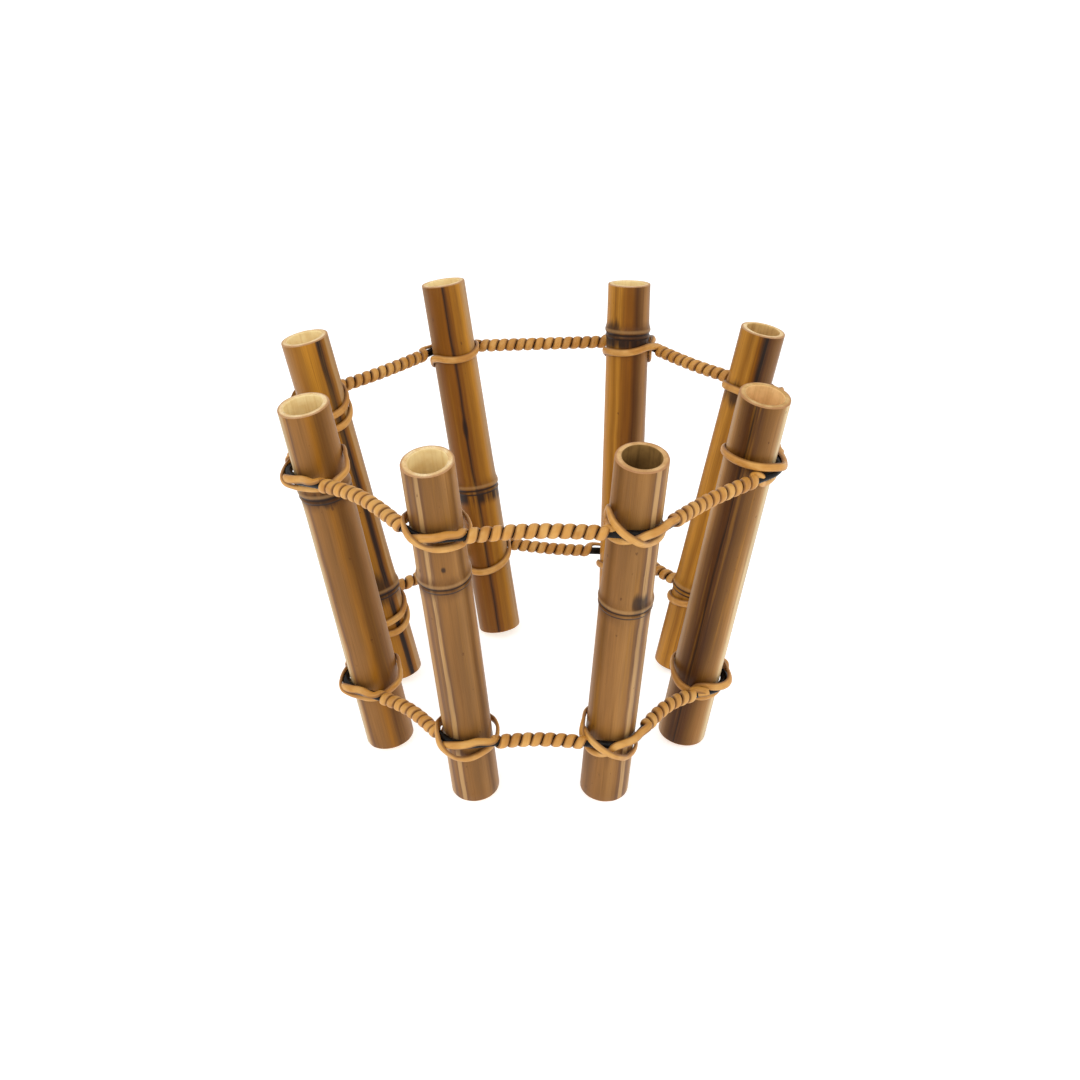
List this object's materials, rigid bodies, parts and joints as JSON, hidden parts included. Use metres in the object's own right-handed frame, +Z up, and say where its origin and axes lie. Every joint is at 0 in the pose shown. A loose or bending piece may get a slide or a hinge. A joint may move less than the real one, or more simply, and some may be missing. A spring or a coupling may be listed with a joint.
{
  "type": "lashed bamboo ring",
  "caption": "Open flared ring of hollow bamboo sections, bound side by side with wound reed to two round hoops. It stands free on its cut ends.",
  "frame": {"origin": "on the floor, at the middle of the ring's bounding box", "axes": "+Z up, -Y towards the side with sections 1 and 2, +X to the right of that side"},
  "size_m": [0.2697, 0.2535, 0.2131],
  "materials": {
    "bamboo": "brown tortoiseshell bamboo with a satin skin",
    "hoop_core": "black, glossy, round",
    "reed": "split reed, golden tan, satin"
  },
  "bodies": {
    "root": {"bamboo_section_1": "bamboo", "bamboo_section_2": "bamboo", "bamboo_section_3": "bamboo", "bamboo_section_4": "bamboo", "bamboo_section_5": "bamboo", "bamboo_section_6": "bamboo", "bamboo_section_7": "bamboo", "bamboo_section_8": "bamboo", "upper_hoop_core": "hoop_core", "upper_winding_1": "reed", "upper_lashing_1": "reed", "upper_winding_2": "reed", "upper_lashing_2": "reed", "upper_winding_3": "reed", "upper_lashing_3": "reed", "upper_winding_4": "reed", "upper_lashing_4": "reed", "upper_winding_5": "reed", "upper_lashing_5": "reed", "upper_winding_6": "reed", "upper_lashing_6": "reed", "upper_winding_7": "reed", "upper_lashing_7": "reed", "upper_winding_8": "reed", "upper_lashing_8": "reed", "lower_hoop_core": "hoop_core", "lower_winding_1": "reed", "lower_lashing_1": "reed", "lower_winding_2": "reed", "lower_lashing_2": "reed", "lower_winding_3": "reed", "lower_lashing_3": "reed", "lower_winding_4": "reed", "lower_lashing_4": "reed", "lower_winding_5": "reed", "lower_lashing_5": "reed", "lower_winding_6": "reed", "lower_lashing_6": "reed", "lower_winding_7": "reed", "lower_lashing_7": "reed", "lower_winding_8": "reed", "lower_lashing_8": "reed"}
  },
  "joints": []
}
